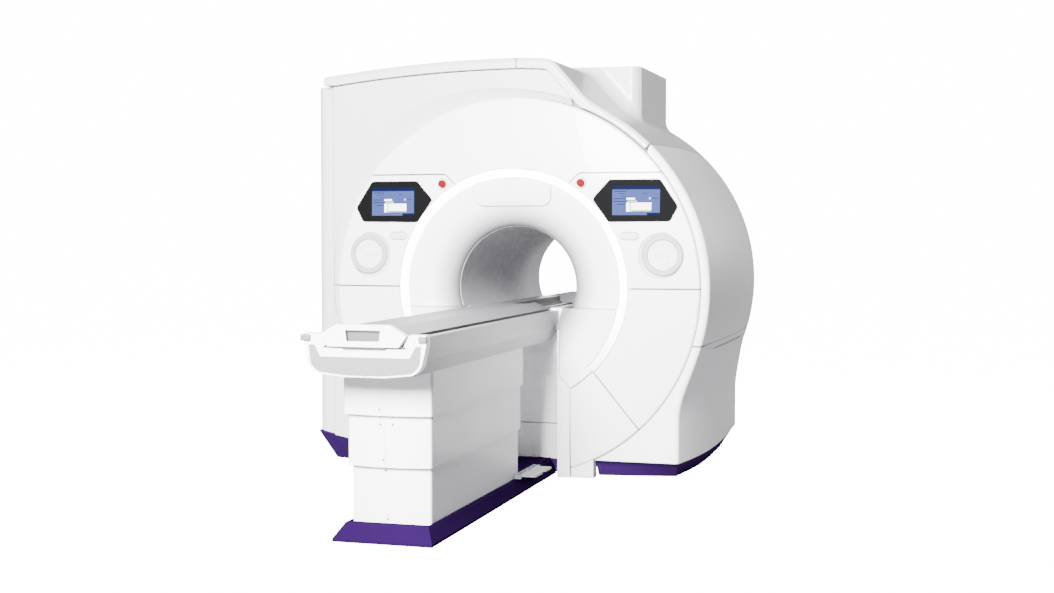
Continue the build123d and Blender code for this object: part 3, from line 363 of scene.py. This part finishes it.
# %% Finishes of the fittings and the inside
insert_coat = finish("bumper_rubber", "737375", "6e6e70", 0.62, peel=900, bump=0.05)
frame_paint = finish("frame_paint", "70757a", "666b70", 0.5, bump=0.04)
vessel_skin = finish("vessel_steel", "b9bcc0", "a9acb1", 0.32, metal=1.0, peel=120)
copper_resin = finish("coil_winding", "7a4420", "683a1b", 0.5, patch=12.0, bump=0.1)
cast_resin = finish("cast_resin", "878d77", "7a806c", 0.6, patch=6.0, bump=0.1)
machined = finish("machined_aluminium", "c3c6c9", "b4b7bb", 0.3, metal=1.0, peel=300)
bezel_matte = finish("bezel_acrylic", "0e0e0f", "0c0c0d", 0.5, spread=0.02, bump=0.002,
                     shine=0.01)
pedal_rubber = finish("pedal_rubber", "8f8f8a", "868681", 0.6, peel=800, bump=0.06,
                      edge=0.004)
stop_red = finish("stop_button_red", "6a0812", "60070f", 0.4, shine=0.02, edge=0.003,
                  edge_dark=0.6)
roller_black = finish("roller_rubber", "1c1c1e", "171719", 0.7, bump=0.06)
clip_grey = finish("clip_plastic", "69696c", "646467", 0.5)
pad_dark = finish("corner_pad_dark", "3a3a3c", "343436", 0.6)
print("finishes", len(bpy.data.materials))

# %% [markdown]
# ## Light ring
# A frosted strip with lamps behind it runs round the mouth. It is brightest
# high up and fades towards its two lower ends. Real lamps behind a milky strip
# would take long to render and leave noise, so the strip glows by itself, and a
# gradient over the height drives its colour.


# %% Glow of the ring
def object_axes(tree):
    """Node whose X, Y and Z are the place on the object."""
    where = node(tree, "ShaderNodeTexCoord")
    axes = node(tree, "ShaderNodeSeparateXYZ")
    tree.links.new(where.outputs["Object"], axes.inputs[0])
    return axes


RING_LOW, RING_HIGH = 0.62, 1.05
LOW_GLOW = 0.08
RING_POWER = 9.0
glow, tree, shader = blank("ring_diffuser")
fade = ramp(tree, object_axes(tree).outputs["Z"], RING_LOW, RING_HIGH, LOW_GLOW, 1.0)
tint = node(tree, "ShaderNodeMix", data_type="RGBA")
tint.inputs["A"].default_value = (0.0, 0.0, 0.0, 1.0)
tint.inputs["B"].default_value = PURE_WHITE
tree.links.new(fade, tint.inputs["Factor"])
tree.links.new(tint.outputs["Result"], shader.inputs["Emission Color"])
shader.inputs["Emission Strength"].default_value = RING_POWER
shader.inputs["Base Color"].default_value = rgb("f2f2f4")
shader.inputs["Roughness"].default_value = 0.35
print("material", glow.name)

# %% [markdown]
# ## Keypads
# Each keypad is a grey ring round a white plate that carries the keys, and both
# are one membrane. The mesh could be split for two materials, but the packed
# solid stays whole, so one finish changes shade with the distance from the
# keypad's middle. The distance is measured on either side of the machine, and
# both keypads share the finish.


# %% Two shades of the keypad
def base_colour(coat):
    """Tree and shader of a finish, and the socket that gives its colour."""
    tree = coat.node_tree
    shader = tree.nodes["Principled BSDF"]
    return tree, shader, shader.inputs["Base Color"].links[0].from_socket


def axis_distance(tree, x, z, either_side=False):
    """Distance from an axis along Y, or from it and its mirror image."""
    axes = object_axes(tree)
    across = axes.outputs["X"]
    if either_side:
        across = maths(tree, "ABSOLUTE", across)
    flat = node(tree, "ShaderNodeCombineXYZ")
    radius = node(tree, "ShaderNodeVectorMath", operation="LENGTH")
    tree.links.new(maths(tree, "SUBTRACT", across, x), flat.inputs["X"])
    tree.links.new(maths(tree, "SUBTRACT", axes.outputs["Z"], z), flat.inputs["Z"])
    tree.links.new(flat.outputs[0], radius.inputs[0])
    return radius.outputs["Value"]


KEYPAD_X, KEYPAD_Z, PLATE_R = 0.873, 1.260, 0.0832
KEY_EDGE, KEY_EDGE_DARK = 0.003, 0.6
keypad_skin = finish("keypad_membrane", "a6a6a9", "9f9fa2", 0.5)
tree, shader, ring_shade = base_colour(keypad_skin)
radius = axis_distance(tree, KEYPAD_X, KEYPAD_Z, either_side=True)
plate = tinted(tree, ring_shade, rgb("e2e2e4"), maths(tree, "LESS_THAN", radius, PLATE_R))
# The edges of the keys get painted shade.
keys = darken(tree, plate, edge_shade_mask(tree, KEY_EDGE), KEY_EDGE_DARK)
tree.links.new(keys, shader.inputs["Base Color"])
print("keypad plate", round(2000 * PLATE_R), "mm across")

# %% [markdown]
# ## Displays
# Each panel has a lit screen under dark glass. An image would be the usual way
# to fill it. Nodes can draw it as well, with no picture file to keep: a deep
# blue bar, a paler ground with short rows at the left, and a bright window. The
# fields are rectangles in object space, measured from the screen's lower left
# corner in shares of its width and height. The glass is matte, because the
# mirrored lamp would wipe them out.


# %% Mask of a rectangle
def box_mask(tree, axes, x0, x1, z0, z1):
    """1 inside a rectangle that faces along Y, 0 outside."""
    tests = [maths(tree, operation, axes.outputs[axis], limit)
             for axis, low, high in (("X", x0, x1), ("Z", z0, z1))
             for operation, limit in (("GREATER_THAN", low), ("LESS_THAN", high))]
    mask = tests[0]
    for test in tests[1:]:
        mask = maths(tree, "MULTIPLY", mask, test)
    return mask


SCREEN_WIDE, SCREEN_HIGH, SCREEN_LOW = 0.268, 0.166, 1.482
SCREEN_FIELDS = [
    (0.00, 1.00, 0.86, 1.00, "080c24"), (0.73, 1.00, 0.00, 0.08, "080c24"),
    (0.05, 0.29, 0.785, 0.81, "141a38"), (0.12, 0.29, 0.71, 0.73, "1c2246"),
    (0.20, 0.29, 0.615, 0.635, "1c2246"), (0.03, 0.29, 0.54, 0.565, "141a38"),
    (0.03, 0.29, 0.445, 0.47, "141a38"), (0.11, 0.29, 0.35, 0.375, "141a38"),
    (0.63, 0.73, 0.72, 0.745, "1c2246"), (0.82, 0.96, 0.55, 0.575, "1c2246"),
    (0.30, 0.48, 0.52, 0.58, "e6e6e2"), (0.77, 0.81, 0.53, 0.59, "9a9cb0"),
    (0.32, 0.52, 0.44, 0.49, "8c9084"), (0.30, 0.82, 0.12, 0.42, "eeeeea"),
    (0.37, 0.39, 0.12, 0.42, "40443e"), (0.40, 0.82, 0.12, 0.17, "6e6e6a"),
]
print("screen fields", len(SCREEN_FIELDS))

# %% Draw the screens
SCREEN_GLOW = 0.25


def display_glass(name, left):
    """Lit screen with its fields, for the screen whose left edge is at x = left."""
    made, tree, shader = blank(name)
    shader.inputs["Roughness"].default_value = 0.5
    shader.inputs["Specular IOR Level"].default_value = 0.01
    axes = object_axes(tree)
    where = node(tree, "ShaderNodeTexCoord")
    ground = node(tree, "ShaderNodeTexNoise", Scale=3.0)
    tree.links.new(where.outputs["Object"], ground.inputs["Vector"])
    mottle = node(tree, "ShaderNodeMix", data_type="RGBA")
    mottle.inputs["A"].default_value = rgb("2c345a")
    mottle.inputs["B"].default_value = rgb("303960")
    tree.links.new(ground.outputs["Fac"], mottle.inputs["Factor"])
    colour = mottle.outputs["Result"]
    for x0, x1, z0, z1, shade in SCREEN_FIELDS:
        field = box_mask(tree, axes, left + x0 * SCREEN_WIDE, left + x1 * SCREEN_WIDE,
                         SCREEN_LOW + z0 * SCREEN_HIGH, SCREEN_LOW + z1 * SCREEN_HIGH)
        colour = tinted(tree, colour, rgb(shade), field)
    tree.links.new(colour, shader.inputs["Base Color"])
    tree.links.new(colour, shader.inputs["Emission Color"])
    shader.inputs["Emission Strength"].default_value = SCREEN_GLOW
    return made


screens = {"display_screen_right": display_glass("screen_right", 0.588),
           "display_screen_left": display_glass("screen_left", -0.856)}
print("screens", len(screens))

# %% [markdown]
# ## Bell of the mouth
# The bell turns inward towards the bore, where less light reaches it, so its
# colour is mixed greyer there as painted shade. The shade could be painted on the
# vertices, but a imported mesh has few of them on such a curve. The distance from
# the bore axis gives an even fade.

# %% Painted shade of the bell
ISO_Z = 1.073
BELL_INNER, BELL_OUTER = 0.352, 0.50
bell_coat = finish("bell_gel_coat", *WHITE, 0.4, coat=0.1, edge=0.007, edge_dark=0.8)
tree, shader, bell_shade = base_colour(bell_coat)
inward = ramp(tree, axis_distance(tree, 0.0, ISO_Z), BELL_INNER, BELL_OUTER, 1.0, 0.0)
tree.links.new(tinted(tree, bell_shade, rgb("6c6c6f"), inward), shader.inputs["Base Color"])
print("bell fades over", round(1000 * (BELL_OUTER - BELL_INNER)), "mm")

# %% [markdown]
# ## Handle recess
# Fingers go into a pocket of the cradle's end cap, and the shade inside it is
# painted as grey. Its faces could be picked one by one for a second material. A
# mask by place is shorter: within the pocket's outline, everything that lies
# behind the cap's face is painted grey as shade.

# %% Painted shade in the pocket
POCKET_HALF, POCKET_LOW, POCKET_HIGH = 0.0805, 0.924, 0.9735
CAP_FACE_Y = -3.1185
cap_coat = finish("cap_gel_coat", *TABLE_WHITE, 0.42, coat=0.08, edge=0.003, edge_dark=0.5)
tree, shader, cap_shade = base_colour(cap_coat)
axes = object_axes(tree)
pocket = box_mask(tree, axes, -POCKET_HALF, POCKET_HALF, POCKET_LOW, POCKET_HIGH)
behind = maths(tree, "GREATER_THAN", axes.outputs["Y"], CAP_FACE_Y)
pocket_painted_shade = tinted(tree, cap_shade, rgb("555558"), maths(tree, "MULTIPLY", pocket, behind))
tree.links.new(pocket_painted_shade, shader.inputs["Base Color"])
print("pocket", round(2000 * POCKET_HALF), "mm wide")

# %% [markdown]
# ## Dress the solids
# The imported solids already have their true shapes, so they only need their
# finish. They could be listed one by one, but whole families of pieces share
# one. A short table goes by how a piece's name starts: the longest start that
# fits wins, and whatever isn't named is white gel coat.

# %% Give each solid its finish
DRESS = {
    "front_": seam_coat, "control_panel": seam_coat, "right_": seam_coat,
    "rear_left": seam_coat, "rear_right": seam_coat, "top_": shell_coat_painted_shade, "left_": shell_coat_painted_shade,
    "recess_kick": kick_coat, "deck_cover": kick_coat, "front_kick": kick_coat,
    "front_frame": frame_paint, "rear_frame": frame_paint, "magnet_base": frame_paint,
    "table_base_frame": frame_paint, "lift_columns": frame_paint, "pedal_bracket": frame_paint,
    "plinth": plinth_purple, "table_base_cover": purple,
    "flare_cover": bell_coat, "light_ring": glow, "bore_liner": liner_coat,
    "display_bezel": bezel_matte, "keypad": keypad_skin, "stop_button": stop_red, **screens,
    "lower_shroud": shroud_coat, "middle_shroud": shroud_coat, "upper_shroud": shroud_coat,
    "foot_bumper": table_coat, "bumper_insert": insert_coat, "cradle_end_cap": cap_coat,
    "cradle": cradle_coat, "bore_bridge": cradle_coat, "table_tray": tray_coat_painted_shade,
    "pedal_up": pedal_rubber, "pedal_down": pedal_rubber,
    "tray_drive_roller": roller_black, "bridge_roller": roller_black,
    "magnet_cryostat": vessel_skin, "main_coils": copper_resin, "cold_head": machined,
    "gradient_coil": cast_resin, "body_coil": cast_resin,
}
for name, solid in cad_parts.items():
    starts = [start for start in DRESS if name.startswith(start)]
    coat = DRESS[max(starts, key=len)] if starts else gel_coat
    if not solid.material_slots:
        solid.data.materials.append(coat)
    for slot in solid.material_slots:
        slot.material = coat
print("dressed", len(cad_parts), "solids")

# %% [markdown]
# ## Small parts
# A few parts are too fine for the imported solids: the rounded lip over the pull
# handle, pads under the table's corners, clips, fillers, a tab, screw heads and
# a bead. Each could be typed in as a list of corners, but it is clearer to work
# as by hand: a primitive is added at its size and place, shaped in edit mode
# with bevels and insets, and given smooth sides and a finish. Then it rides on
# the body that carries it, so it moves with the table or the cradle.


# %% Pick faces and complete a part
def pick_faces(piece, test):
    """Leave the piece open for editing, with the faces selected that pass a test."""
    bpy.ops.object.mode_set(mode="EDIT")
    bpy.ops.mesh.select_mode(type="FACE")
    bpy.ops.mesh.select_all(action="DESELECT")
    bpy.ops.object.mode_set(mode="OBJECT")
    for polygon in piece.data.polygons:
        polygon.select = bool(test(polygon))
    bpy.ops.object.mode_set(mode="EDIT")


SMOOTH_UP_TO = 35


def complete(piece, body, coat):
    """Close the piece: normals outward, smooth sides, finish and carrying body."""
    bpy.ops.mesh.select_all(action="SELECT")
    bpy.ops.mesh.normals_make_consistent(inside=False)
    bpy.ops.object.mode_set(mode="OBJECT")
    bpy.ops.object.shade_smooth_by_angle(angle=math.radians(SMOOTH_UP_TO))
    piece.data.materials.append(coat)
    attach(piece, body)
    bpy.ops.object.select_all(action="DESELECT")
    return piece


print("smooth up to", SMOOTH_UP_TO, "degrees")

# %% [markdown]
# ## Blocks with rounded edges
# Grey clips end the bumper's arms, a lip closes the pull handle from above,
# dark pads lie under the end cap and at the table's corners, a small tab holds
# the kick panel, and white fillers close the gaps between the deck cover and the
# bore. Lines drawn in the finish could stand for them, but they would cast no
# shadow. All are blocks with rounded edges, so one function makes them from two
# corners, and it insets the front twice where a clip has a sunk field.

# %% Make the clips
FACES_FRONT = -0.99
TOUCHING = 1e-5


def rounded_block(name, low, high, round_by, body, coat, panel=0.0):
    """Block between two corners with rounded edges; panel sinks a field into its front."""
    bpy.ops.object.select_all(action="DESELECT")
    bpy.ops.mesh.primitive_cube_add(
        size=1.0, location=[(a + b) / 2 for a, b in zip(low, high)],
        scale=[b - a for a, b in zip(low, high)])
    piece = bpy.context.active_object
    piece.name = name
    bpy.ops.object.transform_apply(location=True, rotation=True, scale=True)
    bpy.ops.object.mode_set(mode="EDIT")
    bpy.ops.mesh.select_all(action="SELECT")
    bpy.ops.mesh.bevel(offset=round_by, segments=4, affect="EDGES")
    if panel:
        pick_faces(piece, lambda f: f.center.y < low[1] + TOUCHING and f.normal.y < FACES_FRONT)
        bpy.ops.mesh.inset(thickness=panel, depth=0)
        bpy.ops.mesh.inset(thickness=panel / 2, depth=-panel / 2)
    return complete(piece, body, coat)


clips = [
    rounded_block("bumper_clip_right", (0.252, -3.113, 0.922), (0.288, -3.090, 0.949), 0.005,
                  "table_top", clip_grey, panel=0.003),
    rounded_block("bumper_clip_left", (-0.299, -3.113, 0.921), (-0.252, -3.090, 0.950), 0.007,
                  "table_top", clip_grey, panel=0.003),
]
print("clips", [clip.name for clip in clips])

# %% Make the lip, the rubber, the filler and the tab
lip = rounded_block("handle_lip", (-0.0805, -3.1195, 0.969), (0.0805, -3.092, 0.9965), 0.009,
                    "cradle_body", table_coat)
strip = rounded_block("end_cap_strip", (-0.100, -3.118, 0.8925), (0.100, -3.096, 0.9010),
                      0.002, "cradle_body", pad_dark)
pad = rounded_block("corner_pad_right", (0.168, -3.104, 0.8935), (0.190, -3.075, 0.9030),
                    0.003, "table_top", pad_dark)
filler = rounded_block("deck_filler_right", (0.250, -0.846, 0.815), (0.345, -0.822, 0.9565),
                       0.0015, "gantry", gel_coat)
tab = rounded_block("kick_panel_tab", (0.276, -0.962, 0.251), (0.291, -0.948, 0.284), 0.003,
                    "gantry", gel_coat)
print("blocks", [block.name for block in (lip, strip, pad, filler, tab)])

# %% [markdown]
# ## Twins
# The corner pads and the fillers come in pairs. A Mirror modifier could make the
# left ones, but then a pair would be one piece. Each block is the same on both
# of its sides, so a copy with its own mesh, moved across the middle of the
# machine, is the left one.

# %% Copy the pad and the filler
PAD_APART, FILLER_APART = 0.358, 0.595


def moved_copy(piece, name, shift, body):
    """Copy of a finished piece with its own mesh, moved by a shift and riding on a body."""
    bpy.ops.object.select_all(action="DESELECT")
    twin = piece.copy()
    twin.data = piece.data.copy()
    twin.name = name
    bpy.context.collection.objects.link(twin)
    twin.location = shift
    twin.select_set(True)
    bpy.context.view_layer.objects.active = twin
    bpy.ops.object.transform_apply(location=True, rotation=True, scale=True)
    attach(twin, body)
    bpy.ops.object.select_all(action="DESELECT")
    return twin


twins = [moved_copy(pad, "corner_pad_left", (-PAD_APART, 0, 0), "table_top"),
         moved_copy(filler, "deck_filler_left", (-FILLER_APART, 0, 0), "gantry")]
print("twins", [twin.name for twin in twins])

# %% [markdown]
# ## Screw heads
# Dark screws hold the shrouds at their front. A painted dot would do from afar,
# but it looks flat up close. So one head is shaped from a cylinder, with a
# bevelled rim and a sunk socket, and all others are copies with their own mesh.

# %% Shape one screw head
HEAD_R, HEAD_HIGH, HEAD_OUT = 0.0044, 0.002, 0.0012
RIM_ROUND = 0.0006
SOCKET_INSET, SOCKET_SLOPE, SOCKET_DEEP = 0.0014, 0.0003, 0.0008
screw_steel = finish("screw_steel", "3a3a3d", "313134", 0.4, metal=0.6, patch=60.0)


def screw_head(name, place, body):
    """Low round screw head with a socket, facing the foot end."""
    bpy.ops.object.select_all(action="DESELECT")
    bpy.ops.mesh.primitive_cylinder_add(
        vertices=24, radius=HEAD_R, depth=HEAD_HIGH, location=place,
        rotation=(math.pi / 2, 0, 0))
    piece = bpy.context.active_object
    piece.name = name
    bpy.ops.object.transform_apply(location=True, rotation=True, scale=True)
    pick_faces(piece, lambda f: f.normal.y < FACES_FRONT)
    bpy.ops.mesh.bevel(offset=RIM_ROUND, segments=2, affect="EDGES")
    pick_faces(piece, lambda f: f.normal.y < FACES_FRONT and f.area > HEAD_R * HEAD_R)
    bpy.ops.mesh.inset(thickness=SOCKET_INSET, depth=0)
    bpy.ops.mesh.inset(thickness=SOCKET_SLOPE, depth=-SOCKET_DEEP)
    return complete(piece, body, screw_steel)


print("screw head", round(2000 * HEAD_R, 1), "mm across")

# %% Set the screw heads
SCREWS = [
    ("gantry", -2.820, [(-0.017, 0.318), (-0.005, 0.097)]),
    ("lift_middle_stage", -2.847,
     [(-0.030, 0.567), (0.030, 0.567), (-0.030, 0.531), (0.030, 0.531), (-0.017, 0.371)]),
    ("table_top", -2.874, [(-0.025, 0.601)]),
]
spots = [(body, Vector((x, nose - HEAD_OUT, z))) for body, nose, row in SCREWS for x, z in row]
first_body, first_place = spots[0]
first_head = screw_head("screw_head_1", first_place, first_body)
for count, (body, place) in enumerate(spots[1:], start=2):
    moved_copy(first_head, f"screw_head_{count}", place - first_place, body)
print("screw heads", len(spots))

# %% [markdown]
# ## Bead of the bore mouth
# A white bead closes the joint between the bell and the bore liner. A small
# circle could be swept round the bore, but a torus has that shape already. It
# is only stretched a little along the bore, to cover the width of the joint.

# %% Lay the bead
BEAD_Y = -0.8265
BEAD_STRETCH = 1.6
bpy.ops.object.select_all(action="DESELECT")
bpy.ops.mesh.primitive_torus_add(
    major_radius=0.3515, minor_radius=0.003, major_segments=144, minor_segments=12,
    location=(0, BEAD_Y, ISO_Z), rotation=(math.pi / 2, 0, 0))
bead = bpy.context.active_object
bead.name = "bore_mouth_bead"
bpy.ops.object.transform_apply(location=True, rotation=True, scale=True)
bpy.ops.object.mode_set(mode="EDIT")
bpy.ops.mesh.select_all(action="SELECT")
bpy.ops.transform.resize(value=(1.0, BEAD_STRETCH, 1.0))
complete(bead, "gantry", gel_coat)
print("bead vertices", len(bead.data.vertices))

# %% [markdown]
# ## Floor finish
# The floor only has to be pale and calm, with a faint mottle so that it isn't
# one flat colour. Stronger lamps would burn it out to white, but the machine
# with it. So what the camera sees of the floor glows, and it runs into the sky.

# %% Finish the floor
floor_finish = finish("studio_floor_paint", "707072", "6a6a6c", 0.8, patch=0.5, peel=40)
tree, shader, _ = base_colour(floor_finish)
path = node(tree, "ShaderNodeLightPath")
burn = maths(tree, "MULTIPLY", path.outputs["Is Camera Ray"], WALL_WHITE)
shader.inputs["Emission Color"].default_value = PURE_WHITE
tree.links.new(burn, shader.inputs["Emission Strength"])
floor.data.materials.append(floor_finish)
print("floor finish", floor_finish.name)

# %% [markdown]
# ## End

# %% End of the script
print("script done")
